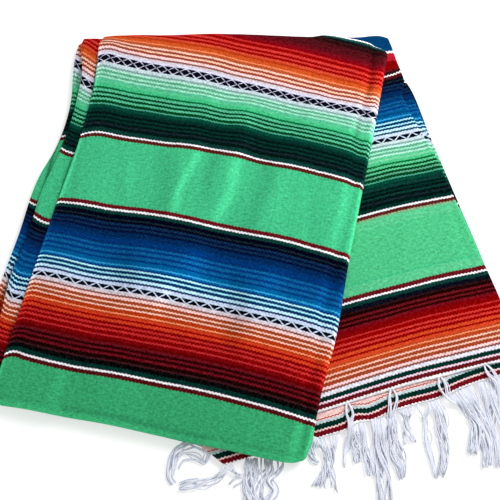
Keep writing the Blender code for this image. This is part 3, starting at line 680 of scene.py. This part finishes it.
def walled(grid):
    # Closed wall whose outer face is the grid: the inner face is moved in along the mean of the faces' normals.
    rows, cols = grid.shape[:2]
    cross = np.cross(grid[1:, 1:] - grid[:-1, :-1], grid[1:, :-1] - grid[:-1, 1:])
    if cross[rows // 2, cols // 2, 2] < 0:
        cross = -cross
    normal = np.zeros_like(grid)
    for i in (0, 1):
        for j in (0, 1):
            normal[i : rows - 1 + i, j : cols - 1 + j] += cross
    normal /= np.linalg.norm(normal, axis=-1, keepdims=True)
    index = np.arange(rows * cols).reshape(rows, cols)
    quads = np.stack([index[:-1, :-1], index[1:, :-1], index[1:, 1:], index[:-1, 1:]], axis=-1).reshape(-1, 4)
    loop = np.concatenate([index[:-1, 0], index[-1, :-1], index[:0:-1, -1], index[0, :0:-1]])
    after = np.roll(loop, -1)
    rim = np.stack([after, loop, loop + rows * cols, after + rows * cols], axis=-1)
    faces = np.concatenate([quads, quads[:, ::-1] + rows * cols, rim])
    return np.concatenate([grid.reshape(-1, 3), (grid - cloth * normal).reshape(-1, 3)]), faces


def meshOf(name, points, faces, u, v, material, shine=None):
    # Puts whole arrays into a mesh, with its cloth map and its painted light and shade, and turns its faces outward.
    mesh = bpy.data.meshes.new(name)
    corners = faces.shape[1]
    mesh.vertices.add(len(points))
    mesh.vertices.foreach_set("co", points.astype(np.float32).ravel())
    mesh.loops.add(faces.size)
    mesh.loops.foreach_set("vertex_index", faces.astype(np.int32).ravel())
    mesh.polygons.add(len(faces))
    mesh.polygons.foreach_set("loop_start", np.arange(0, faces.size, corners, dtype=np.int32))
    mesh.update(calc_edges=True)
    mesh.validate()
    fixed = np.stack([u.ravel(), v.ravel()], axis=1)[faces.ravel()]
    mesh.uv_layers.new(name="cloth").data.foreach_set("uv", fixed.astype(np.float32).ravel())
    if shine is not None:
        mesh.attributes.new("shine", "FLOAT", "POINT").data.foreach_set("value", shine.astype(np.float32).ravel())
    a, b, c = points[faces[:, 0]], points[faces[:, 1]], points[faces[:, 2]]
    d = points[faces[:, -1]]
    volume = np.sum(a * np.cross(b, c)) + (np.sum(a * np.cross(c, d)) if corners == 4 else 0.0)
    if volume < 0:
        mesh.flip_normals()
    mesh.polygons.foreach_set("use_smooth", np.ones(len(faces), bool))
    mesh.materials.append(material)
    piece = bpy.data.objects.new(name, mesh)
    bpy.context.scene.collection.objects.link(piece)
    return piece


def layer(name, arm, ply, height, rest, rows, material):
    # A draped wall with its cloth map. Painted light and shade go where the ply's table of them says, with a painted
    # highlight on rolled edges.
    grid, across, along, clothAcross, clothAlong = draped(arm, ply, height, rest)
    place = loomPlace(rows, across, along) + clothAlong
    points, faces = walled(grid)
    shine = creases(ply.get("shine", []), across, along) / mm
    low = rest(across, along)
    drop = 1.0 - np.clip((grid[..., 2] - low) / (height(across, along) - low), 0.0, 1.0)
    # painted highlight that grows over the rolled edge's drop
    shine = shine + ply.get("paintedEdgeHighlight", 0.0) * smooth(drop, 0.0, weave["paintedHighlightDrop"])
    shine, u, v = (np.tile(value.ravel(), 2) for value in (shine, clothAcross, place))
    return meshOf(name, points, faces, u, v, material, shine)


print("cloth layers")
frontWool = wool("striped_wool_front", frontStripes, [(latticeMask, lattice), (zigzagMask, zigzag)])
backWool = wool("striped_wool_back", backStripes, [(zigzagMask, backZigzag)])
borderWool = wool("striped_wool_border", borderStripes, [])

front = layer("front_layer", frontArm, frontPly, frontHeight, frontRest, frontRows, frontWool)
second = layer("second_layer", frontArm, secondPly, secondHeight, secondRest, secondRows, frontWool)
third = layer("third_layer", frontArm, thirdPly, thirdHeight, lowRest, thirdRows, frontWool)
backUpper = layer("back_upper_layer", backArm, backUpperPly, backHeight, backRest, backRows, backWool)
backLower = layer("back_lower_layer", backArm, backLowerPly, lowerHeight, lowerRest, borderRows, borderWool)
tail = layer("tail_layer", backArm, tailPly, lowerHeight, lowerRest, borderRows, borderWool)

# The layers inside the folds: closed pads with a round edge for each layer.
inner = {
    "backSides": ((60, -190, 150), (106, -194, 173), (125, -194, 178), (137, -194, 179), (169, -194, 179),
                  (200, -194, 178.5), (235, -194, 179), (284, -194, 180), (382, -194, 182), (430, -194, 181.5),
                  (520, -193, 181)),
    "backEnds": ((-190, -40, 514), (100, 45, 514), (181, 75, 514)),
    # bottom, top, how far the edge stands in, how far its rows lie below those of the layer on top
    "backPads": ((0.0, 3.0, 0.0, 9.0), (3.35, 6.4, 4.0, 5.0)),
    "frontPads": ((0.0, 3.2, 5.0, 12.0), (3.5, 7.0, 4.2, 9.0), (7.3, 10.6, 5.4, 6.0), (10.9, 14.0, 4.6, 3.0)),
    "frontTrims": (0.014, 0.0045, 0.008, 0.006),
    "leftOf": -0.197,  # across the back arm, where the front arm's lower pads end
    "ringPoints": 420,
    "cornerSoftness": 0.008,
    "edgeSteps": 9,
    "upperPads": ((14.4, 17.6, 8.0, 6.0), (17.9, 21.6, 9.0, 3.0)),
}


def outlineOf(arm, sides, ends, trims, steps):
    # counterclockwise outline between two side curves and two end curves, trimmed left, right, top, bottom
    leftTrim, rightTrim, topTrim, bottomTrim = trims
    place, top, bottom = columns(ends)
    cornerLeft = sidesAt(sides, bottom[0])[0] + leftTrim
    cornerRight = sidesAt(sides, bottom[-1])[1] - rightTrim
    e, t = np.linspace(0.0, 1.0, steps[0]), np.linspace(0.0, 1.0, steps[1])
    lowAcross = cornerLeft + (cornerRight - cornerLeft) * e
    lowAlong = np.interp(lowAcross, place, bottom) - bottomTrim
    topLeft = np.interp(sidesAt(sides, top[0])[0] + leftTrim, place, top) + topTrim
    topRight = np.interp(sidesAt(sides, top[-1])[1] - rightTrim, place, top) + topTrim
    rightAlong = lowAlong[-1] + (topRight - lowAlong[-1]) * t[1:]
    rightAcross = sidesAt(sides, rightAlong)[1] - rightTrim
    leftAlong = topLeft + (lowAlong[0] - topLeft) * t[:-1]
    leftAcross = sidesAt(sides, leftAlong)[0] + leftTrim
    topAcross = rightAcross[-1] + (leftAcross[0] - rightAcross[-1]) * e[1:-1]
    topAlong = np.interp(topAcross, place, top) + topTrim
    across = np.concatenate([lowAcross, rightAcross, topAcross, leftAcross])
    along = np.concatenate([lowAlong, rightAlong, topAlong, leftAlong])
    return np.stack(toFloor(arm, across, along), axis=1)


def clipped(outline, arm, limit):
    # keeps the part of an outline whose across on the given arm is less than the limit
    across = toArm(arm, outline[:, 0], outline[:, 1])[0] - limit
    kept = []
    for here, there, a, b in zip(outline, np.roll(outline, -1, axis=0), across, np.roll(across, -1)):
        if a < 0:
            kept.append(here)
        if a * b < 0:
            kept.append(here + (there - here) * a / (a - b))
    return np.array(kept)


def resampled(outline, count, softness):
    # even steps round the outline, with its corners rounded by a moving mean
    closed = np.vstack([outline, outline[:1]])
    walk = np.concatenate([[0.0], np.cumsum(np.linalg.norm(np.diff(closed, axis=0), axis=1))])
    even = np.linspace(0.0, walk[-1], count, endpoint=False)
    ring = np.stack([np.interp(even, walk, closed[:, k]) for k in (0, 1)], axis=1)
    half = max(int(softness / (walk[-1] / count)), 1)
    return sum(np.roll(ring, k, axis=0) for k in range(-half, half + 1)) / (2 * half + 1)


def padRings(outline, pads, arm, rows):
    # Each pad is a ring of half round edges between its bottom and top, closed by a fan above and below.
    allPoints, allFaces, allBelow = [], [], []
    start = 0
    for bottom, top, inset, below in pads:
        ring = resampled(outline, inner["ringPoints"], inner["cornerSoftness"])
        side = np.roll(ring, -1, axis=0) - np.roll(ring, 1, axis=0)
        inward = np.stack([-side[:, 1], side[:, 0]], axis=1)
        inward /= np.linalg.norm(inward, axis=1, keepdims=True)
        radius = (top - bottom) / 2
        turn = np.linspace(-math.pi / 2, math.pi / 2, inner["edgeSteps"])
        depth = (inset + radius * (1.0 - np.cos(turn))) * mm
        level = ((top + bottom) / 2 + radius * np.sin(turn)) * mm
        count = len(ring)
        rings = ring[None] + inward[None] * depth[:, None, None]
        z = np.broadcast_to(level[:, None, None], (*rings.shape[:2], 1))
        points = np.concatenate([rings, z], axis=-1)
        centre = ring.mean(axis=0)
        tips = np.array([[*centre, level[0]], [*centre, level[-1]]])
        index = start + np.arange(points.shape[0] * count).reshape(points.shape[0], count)
        after = np.roll(index, -1, axis=1)
        band = np.stack([index[:-1], after[:-1], after[1:], index[1:]], axis=-1).reshape(-1, 4)
        tip = start + index.size
        low = np.stack([after[0], index[0], np.full(count, tip)], axis=-1)
        high = np.stack([index[-1], after[-1], np.full(count, tip + 1)], axis=-1)
        triangles = np.concatenate([band[:, [0, 1, 2]], band[:, [0, 2, 3]], low, high])
        allPoints += [points.reshape(-1, 3), tips]
        allFaces.append(triangles)
        allBelow.append(np.full(index.size + 2, below * mm))
        start = tip + 2
    points, faces = np.concatenate(allPoints), np.concatenate(allFaces)
    across, along = toArm(arm, points[:, 0], points[:, 1])
    return points, faces, across, loomPlace(rows, across, along) - np.concatenate(allBelow)


print("layers inside the folds")
backOutline = outlineOf(backArm, inner["backSides"], inner["backEnds"], (0, 0, 0, 0), (40, 60))
backInner = meshOf("back_inner_layers", *padRings(backOutline, inner["backPads"], backArm, backRows), backWool)
frontOutline = outlineOf(frontArm, frontPly["sides"], frontPly["ends"], inner["frontTrims"], (60, 60))
leftOutline = clipped(frontOutline, backArm, inner["leftOf"])
frontInner = meshOf("front_inner_layers", *padRings(leftOutline, inner["frontPads"], frontArm, frontRows), frontWool)
upperInner = meshOf("upper_inner_layers", *padRings(frontOutline, inner["upperPads"], frontArm, frontRows), frontWool)

# Fringe: every yarn belongs to a strand, and every strand to a bunch.
fringeYarn = {
    "radius": 0.00060,
    "strand": 0.0007,
    "perStrand": 3,
    "sides": 4,
    "steps": 34,
    "stray": 0.14,  # share of the yarns that swing out of their bunch
    "strandsFor": 1.7,  # strands for each one in the tables
    "floor": 0.0014,  # height of a strand's middle where it lies on the floor
    "pile": 0.0022,  # most that the strands of a bunch stand on each other
    "rootInside": 0.0015,
    "uneven": 0.12,
    "strandLengths": (0.93, 1.0),
    "yarnLengths": (0.97, 1.0),
    "calm": 0.45,  # how far, in millimetres, a yarn that stays in its bunch swings
    "swing": (1.5, 4.5),
    "twist": (1.2, 3.4),
    "wind": (5, 10),
    "waves": (4, 11),
    "tip": 0.3,  # thickness at both ends, as a share
    "colour": "f7f8fe",
    "shade": "d7def2",
    "fuzzDepth": 0.0004,
}
# strands, 1 where they start as a loop, height of the root, then places on the bunch's line: across, along and
# half width
lowerBunches = (
    (9, 0, 6.4, (-70.5, 530.5, 15.5), (-72.5, 542, 8.5), (-76, 557, 5), (-82.5, 571, 8.5), (-91, 585.5, 15.5)),
    (4, 0, 6.4, (-81, 528.5, 5), (-90, 537, 3), (-92.5, 550, 2.5), (-88, 556, 1.5)),
    (5, 0, 6.4, (-36.5, 527, 4), (-41, 541.5, 4), (-43.5, 557, 4.5), (-46.5, 568.5, 3)),
    (5, 0, 6.4, (-26.5, 526, 3), (-31, 544.5, 3), (-32.5, 562.5, 3.8), (-36, 586.5, 5)),
    (9, 0, 6.4, (-6.5, 529, 9), (-14, 549.5, 6), (-19.5, 575.5, 7.5), (-25, 601, 8), (-30.5, 621, 7.5)),
    (6, 0, 6.4, (10, 524, 3.5), (4, 547.5, 5), (1.5, 572.5, 8.5), (0.5, 586, 5.5), (-3.5, 600, 2.5)),
    (6, 0, 6.4, (27, 525, 10), (24, 537, 3), (21, 550, 5), (19.5, 564.5, 6.5)),
    (6, 1, 6.4, (49.5, 524, 6), (47.5, 531.5, 6.5), (45, 540, 0.8), (41, 565, 4), (40, 588, 4.5), (36.5, 609.5, 2.5)),
    (7, 0, 6.4, (62.5, 525, 4.5), (63.5, 538.5, 5.5), (58.5, 565.5, 5.5), (52.5, 587, 5), (39, 608.5, 3.5)),
    (7, 0, 6.4, (91, 524, 8), (98, 546, 4.5), (101, 563.5, 5.5), (92, 579.5, 5.5), (81.5, 596, 4.5)),
    (8, 0, 6.4, (102, 521.5, 7.5), (105, 538.5, 5.5), (107.5, 563, 6.5), (105, 588, 6), (92.5, 615, 4.5)),
    (8, 0, 6.4, (128, 522, 9), (125.5, 539.5, 7), (121.5, 569.5, 7), (116, 596, 5.5), (107, 617.5, 3.5)),
    (7, 0, 6.4, (154.5, 522, 7.5), (151, 542, 6.5), (144.5, 571, 6), (133, 596, 6), (128, 618, 6.5)),
    (7, 0, 6.4, (173, 519, 7.5), (174, 541, 5.5), (171, 566, 6.5), (176, 592, 6), (172, 612, 5)),
)
upperBunches = (
    (4, 1, 10.8, (-36.5, 503.5, 0.5), (-37, 508, 2.8), (-41, 525.5, 2.8), (-47, 542.5, 3.5), (-54.5, 556.5, 3.5),
     (-60, 569.5, 2.2)),
    (5, 1, 10.8, (18, 500.5, 0.5), (17.5, 505.5, 3.2), (12, 519, 2.5), (3.5, 538, 1.5), (-9, 558, 3),
     (-18.5, 578.5, 2.5), (-24.5, 592.5, 2)),
    (5, 1, 10.8, (76.5, 503, 0.5), (76.5, 509, 3.5), (77, 523.5, 2.5), (90, 538, 3), (100.5, 556.5, 3.5),
     (99.5, 577.5, 5), (95, 595, 4)),
    (5, 1, 10.8, (132.5, 505, 0.5), (134, 509.5, 3), (139, 522, 3), (138.5, 538.5, 2.5), (134.5, 559, 3.5),
     (128.5, 578.5, 3)),
    (4, 1, 10.8, (168, 505.5, 0.5), (170, 510, 3), (172, 530, 2.5), (169, 552, 3.5), (173, 574, 3)),
)
tailBunches = (
    (3, 0, 6.4, (-208, 503, 4), (-220.5, 495, 4), (-236.5, 497, 5.5), (-248.5, 510, 5), (-254, 522, 3.5),
     (-250.5, 536, 2.5)),
    (2, 0, 6.4, (-211, 501.5, 2.5), (-206.5, 511.5, 2), (-212.5, 519, 2), (-222, 510.5, 2.5), (-234, 505.5, 4),
     (-250.5, 518.5, 4)),
    (3, 0, 6.4, (-189, 528, 2.5), (-197, 536.5, 3.5), (-217, 540.5, 4.5), (-237, 536.5, 5.5), (-251.5, 536, 2.5)),
    (2, 0, 6.4, (-186.5, 529.5, 2.5), (-181.5, 540, 2.5), (-176, 546, 2.5), (-184, 548.5, 3.5), (-192.5, 551.5, 2.5)),
    (6, 0, 3.0, (-160.5, 528.5, 6), (-165, 540.5, 5), (-171.5, 554.5, 6), (-173, 567.5, 7), (-172.5, 581, 8)),
    (5, 0, 1.8, (-148, 531, 9), (-153, 548.5, 6), (-161, 560, 5.5), (-164, 572.5, 6.5), (-161, 586.5, 6)),
    (3, 0, 1.8, (-133, 532, 7), (-134, 543, 7), (-138, 550.5, 4.5), (-146.5, 557.5, 4), (-144, 569.5, 4),
     (-153.5, 578, 4.5), (-159, 587, 3)),
)


def bunches(table, ends, drop, seed):
    # A bunch follows its own line. Its strands leave the cloth side by side and then wind round the line as a
    # loose rope does: aside by half width times the sine of the turn, up by its cosine. They sink to the floor
    # between the two drop distances. Each yarn winds round its own strand, and a few swing out in a wave.
    chance = np.random.default_rng(seed)
    perStrand = fringeYarn["perStrand"]
    t = np.linspace(0.0, 1.0, fringeYarn["steps"])[:, None]
    lines = []
    for strands, looped, rootHeight, *stations in table:
        across, along, half = columns(stations)
        strands = round(strands * fringeYarn["strandsFor"])
        walk = np.concatenate([[0.0], np.cumsum(np.hypot(np.diff(across), np.diff(along)))])
        side = np.linspace(-1.0, 1.0, strands) + chance.uniform(-fringeYarn["uneven"], fringeYarn["uneven"], strands)
        if looped:
            side = np.sign(side + 0.01) * (0.8 + 0.2 * np.abs(side))
        side = np.repeat(side, perStrand)
        count = len(side)
        reach = t * np.repeat(chance.uniform(*fringeYarn["strandLengths"], strands), perStrand)
        reach = reach * chance.uniform(*fringeYarn["yarnLengths"], count)
        across, along, half = (curved(reach, walk / walk[-1], column) for column in (across, along, half))
        aheadAcross, aheadAlong = np.gradient(across, axis=0), np.gradient(along, axis=0)
        stride = np.hypot(aheadAcross, aheadAlong)
        twist = np.repeat(chance.uniform(*fringeYarn["twist"], strands), perStrand) * (0.4 if looped else 1.0)
        turn = side * math.pi / 2 * (1.0 + smooth(t, 0.05, 0.4)) + twist * smooth(t, 0.1, 1.0)
        wind = np.tile(np.arange(perStrand) * 2 * math.pi / perStrand, strands)
        wind = wind + t * np.repeat(chance.uniform(*fringeYarn["wind"], strands), perStrand)
        wave = np.sin(t * chance.uniform(*fringeYarn["waves"], count) + chance.uniform(0, 6.28, count))
        strays = chance.uniform(size=count) < fringeYarn["stray"]
        swing = np.where(strays, chance.uniform(*fringeYarn["swing"], count), fringeYarn["calm"]) * mm
        loose = fringeYarn["strand"] * (0.75 + 0.6 * smooth(t, 0.55, 1.0))
        out = half * np.sin(turn) + loose * np.cos(wind) + swing * np.sin(math.pi * t**0.8) * wave
        toEdge = np.zeros(count)
        if ends:
            place, _, near = columns(ends)
            toEdge = curved(across[0] + out[0], place, near) - fringeYarn["rootInside"] - along[0]
        across = across + out * aheadAlong / stride
        along = along - out * aheadAcross / stride + toEdge * (1.0 - smooth(t, 0.0, 0.15))
        fall = smooth(reach * walk[-1], *drop)
        pile = np.minimum(half * 0.4, fringeYarn["pile"]) * (1.0 + np.cos(turn)) * smooth(t, 0.0, 0.2)
        z = rootHeight * mm * (1.0 - fall) + fringeYarn["floor"] * fall + pile + loose * 0.7 * np.sin(wind)
        x, y = toFloor(backArm, across, along)
        lines.append(np.stack([x, y, np.maximum(z, fringeYarn["radius"] * 1.1)], axis=-1).transpose(1, 0, 2))
    return np.concatenate(lines)


def tubes(name, lines, material):
    # A round tube on every line at once: its ring stands square to the line, and its ends close on a point.
    count, steps = lines.shape[:2]
    sides = fringeYarn["sides"]
    ahead = np.gradient(lines, axis=1)
    ahead /= np.linalg.norm(ahead, axis=-1, keepdims=True)
    across = np.cross(ahead, np.array([0.0, 0.0, 1.0]))
    across /= np.linalg.norm(across, axis=-1, keepdims=True)
    above = np.cross(across, ahead)
    turn = np.linspace(0.0, 2 * math.pi, sides, endpoint=False)
    size = np.full(steps, fringeYarn["radius"])
    size[[0, -1]] *= fringeYarn["tip"]
    spin = across[:, :, None] * np.cos(turn)[:, None] + above[:, :, None] * np.sin(turn)[:, None]
    rings = lines[:, :, None] + spin * size[None, :, None, None]
    index = np.arange(count * steps * sides).reshape(count, steps, sides)
    after = np.roll(index, -1, axis=2)
    band = np.stack([index[:, :-1], after[:, :-1], after[:, 1:], index[:, 1:]], axis=-1).reshape(-1, 4)
    first = np.broadcast_to(index.size + np.arange(count)[:, None], (count, sides))
    head = np.stack([first, index[:, 0], after[:, 0]], axis=-1).reshape(-1, 3)
    foot = np.stack([first + count, after[:, -1], index[:, -1]], axis=-1).reshape(-1, 3)
    faces = np.concatenate([band[:, [0, 2, 1]], band[:, [0, 3, 2]], head, foot])
    points = np.concatenate([rings.reshape(-1, 3), lines[:, 0], lines[:, -1]])
    # the map: each yarn has its own u, and v runs along it
    yarnStep, mapLength = 0.01, 0.1
    whose = np.arange(count) * yarnStep
    u = np.concatenate([np.repeat(whose, steps * sides), whose, whose])
    v = np.tile(np.repeat(np.linspace(0, mapLength, steps), sides), count)
    v = np.concatenate([v, np.zeros(count), np.full(count, mapLength)])
    return meshOf(name, points, faces, u, v, material)


def yarnMaterial(name):
    # white cotton yarn: a slightly different tone for each yarn, and fine fuzz as relief
    material, start, shader = newMaterial(name)
    tone = noise(start, start.add("UVMap", {"uv_map": "cloth"}), 90.0, 2.0)
    fuzz = noise(start, start.add("TexCoord", None, None, 3), 900.0, 3.0)
    colour = (tone * 0.8 + fuzz * 0.35 - 0.08).mixed(linear(fringeYarn["shade"]), linear(fringeYarn["colour"]))
    finishMaterial(shader, colour, fuzz, fringeYarn["fuzzDepth"], 0.7, {
        "Roughness": 0.8, "Specular IOR Level": 0.2, "Sheen Weight": 0.1,
    })
    return material


print("fringe")
yarn = yarnMaterial("fringe_cotton")
lowerFringe = tubes("lower_fringe_yarns", bunches(lowerBunches, backLowerPly["ends"], (0.002, 0.028), 3), yarn)
upperFringe = tubes("upper_fringe_yarns", bunches(upperBunches, backUpperPly["ends"], (0.020, 0.050), 5), yarn)
tailFringe = tubes("tail_fringe_yarns", bunches(tailBunches, None, (0.002, 0.026), 8), yarn)

print("frame")
sheets = [
    # piece, node, slot, flat size, flat area where it is cut slanting, what it rests on, what it carries
    (front, "front_ply", "front_wool", (0.386, 0.560), None, ["second_layer", "back_upper_layer"], []),
    (second, "second_ply", "second_wool", (0.038, 0.470), None, ["third_layer"], []),
    (third, "third_ply", "third_wool", (0.024, 0.450), None, ["front_inner_layers"], []),
    (backUpper, "back_upper_ply", "back_wool", (0.265, 0.490), 0.068, ["back_inner_layers"], [upperFringe]),
    (backLower, "back_lower_ply", "border_wool", (0.277, 0.041), None, ["back_inner_layers"], [lowerFringe]),
    (tail, "tail_ply", "tail_wool", (0.055, 0.028), 0.00095, ["back_inner_layers"], [tailFringe]),
]
dressed = [sheet[:3] for sheet in sheets]
dressed += [(piece, "hidden_layers", "hidden_wool") for piece in (backInner, frontInner, upperInner)]
dressed += [
    (lowerFringe, "lower_fringe", "lower_yarn"),
    (upperFringe, "upper_fringe", "upper_yarn"),
    (tailFringe, "tail_fringe", "tail_yarn"),
]
for piece, node, slotName in dressed:
    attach(piece, "root")
    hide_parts(node)

print("studio")
scene = bpy.context.scene
scene.view_settings.view_transform = "Standard"
white = (1.0, 1.0, 1.0, 1.0)
floorReach = 4.0
floorMesh = bpy.data.meshes.new("floor")
floorCorners = [(x * floorReach, y * floorReach, 0.0) for x, y in ((-1, -1), (1, -1), (1, 1), (-1, 1))]
floorMesh.from_pydata(floorCorners, [], [(0, 1, 2, 3)])
floorPaint, _, floorShader = newMaterial("floor_paint")
floorShader.inputs["Base Color"].default_value = (*[studio["floorTone"]] * 3, 1.0)
floorShader.inputs["Emission Color"].default_value = white
floorShader.inputs["Emission Strength"].default_value = studio["floorGlow"]
floorShader.inputs["Roughness"].default_value = 0.9
floorMesh.materials.append(floorPaint)
floor = bpy.data.objects.new("floor", floorMesh)
scene.collection.objects.link(floor)

scene.world = bpy.data.worlds.new("soft_room")
scene.world.use_nodes = True
sky = scene.world.node_tree.nodes["Background"]
sky.inputs["Color"].default_value = white
sky.inputs["Strength"].default_value = studio["worldLight"]

keyData = bpy.data.lights.new("key", "AREA")
keyData.shape = "SQUARE"
keyData.size = studio["keySize"]
keyData.energy = studio["keyPower"]
key = bpy.data.objects.new("key", keyData)
key.location = studio["keyAt"]
key.rotation_euler = (-key.location).to_track_quat("-Z", "Y").to_euler()
scene.collection.objects.link(key)

cameraData = bpy.data.cameras.new("camera")
cameraData.lens = studio["lens"]
cameraData.sensor_width = 36.0
camera = bpy.data.objects.new("camera", cameraData)
camera.location = studio["cameraAt"]
camera.rotation_euler = (math.radians(studio["cameraTilt"]), 0.0, 0.0)
scene.collection.objects.link(camera)
scene.camera = camera
